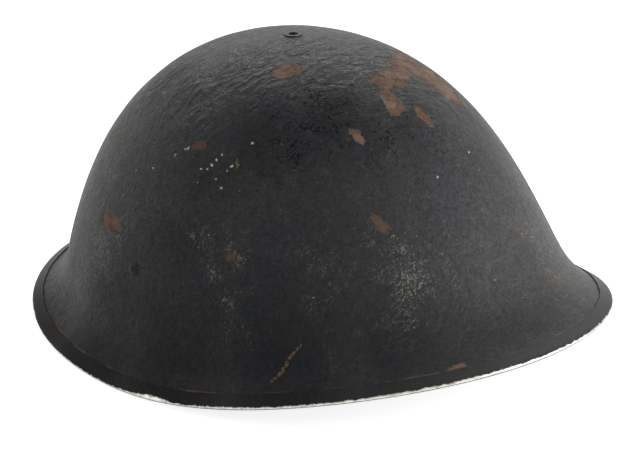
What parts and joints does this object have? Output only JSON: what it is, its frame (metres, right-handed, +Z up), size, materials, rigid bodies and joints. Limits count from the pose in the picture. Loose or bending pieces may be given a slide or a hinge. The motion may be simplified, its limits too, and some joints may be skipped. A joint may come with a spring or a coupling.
{
  "type": "steel helmet",
  "caption": "Deep steel combat helmet with a wide sloping neck guard, folded rim strip, riveted strap lugs, buckled chin strap and suspended liner.",
  "frame": {"origin": "under the middle of the bounding box, at the lowest point of the rim", "axes": "+X to the wearer's left, +Y to the neck guard at the rear, +Z up to the crown"},
  "size_m": [0.2526, 0.3061, 0.1385],
  "materials": {
    "shell_paint": "old near-black paint with brushed texture, chips and scuffs",
    "strip_paint": "old near-black paint, worn to bright steel along the lowest edge",
    "fitting_paint": "old near-black paint, worn through on the high spots",
    "plain_steel": "dull plated steel",
    "lug_steel": "dark paint",
    "webbing": "woven cotton, drab khaki",
    "yellow_metal": "dull brass",
    "brown_fibre": "waxed brown vulcanised fibre",
    "oilcloth": "black oilcloth, slight sheen",
    "lace_cord": "braided cotton",
    "sponge_rubber": "matt sponge rubber",
    "grey_rubber": "matt moulded rubber"
  },
  "bodies": {
    "shell": {"shell": "shell_paint", "rim_strip": "strip_paint", "crown_bush": "fitting_paint", "liner_screw": "plain_steel", "liner_washer": "plain_steel", "left_rivet": "fitting_paint", "right_rivet": "fitting_paint", "headband": "brown_fibre", "sweatband": "oilcloth", "tongues_cloth": "oilcloth", "lace": "lace_cord", "long_crown_strap": "brown_fibre", "cross_crown_strap": "brown_fibre", "crown_pad": "sponge_rubber", "front_buffers": "grey_rubber", "rear_buffers": "grey_rubber", "buffer_rivets": "yellow_metal", "crown_strap_rivets": "yellow_metal"},
    "left_lug": {"left_lug": "lug_steel"},
    "right_lug": {"right_lug": "lug_steel"},
    "left_strap": {"left_strap_loop": "plain_steel", "left_strap": "webbing"},
    "right_strap": {"right_strap_loop": "plain_steel", "right_strap": "webbing", "strap_tip": "yellow_metal"},
    "buckle": {"strap_buckle": "yellow_metal"}
  },
  "joints": [
    {"name": "left_lug_swivel", "type": "hinge", "parent": "shell", "child": "left_lug", "pos_m": [0.10736, -0.01128, 0.05199], "axis": [0.9448, 0, 0.3278], "range_deg": [0, 144]},
    {"name": "right_lug_swivel", "type": "hinge", "parent": "shell", "child": "right_lug", "pos_m": [-0.10736, -0.01128, 0.05199], "axis": [0.9448, 0, -0.3278], "range_deg": [0, 144]},
    {"name": "left_loop_swing", "type": "hinge", "parent": "left_lug", "child": "left_strap", "pos_m": [0.10388, -0.02079, 0.04751], "axis": [0.3117, 0.309, -0.8985], "range_deg": [0, 12]},
    {"name": "right_loop_swing", "type": "hinge", "parent": "right_lug", "child": "right_strap", "pos_m": [-0.10388, -0.02079, 0.04751], "axis": [-0.3117, 0.309, -0.8985], "range_deg": [-12, 0]},
    {"name": "buckle_turn", "type": "hinge", "parent": "left_strap", "child": "buckle", "pos_m": [0.01882, -0.11969, 0.0129], "axis": [0, 0, -1], "range_deg": [-5, 90]}
  ]
}
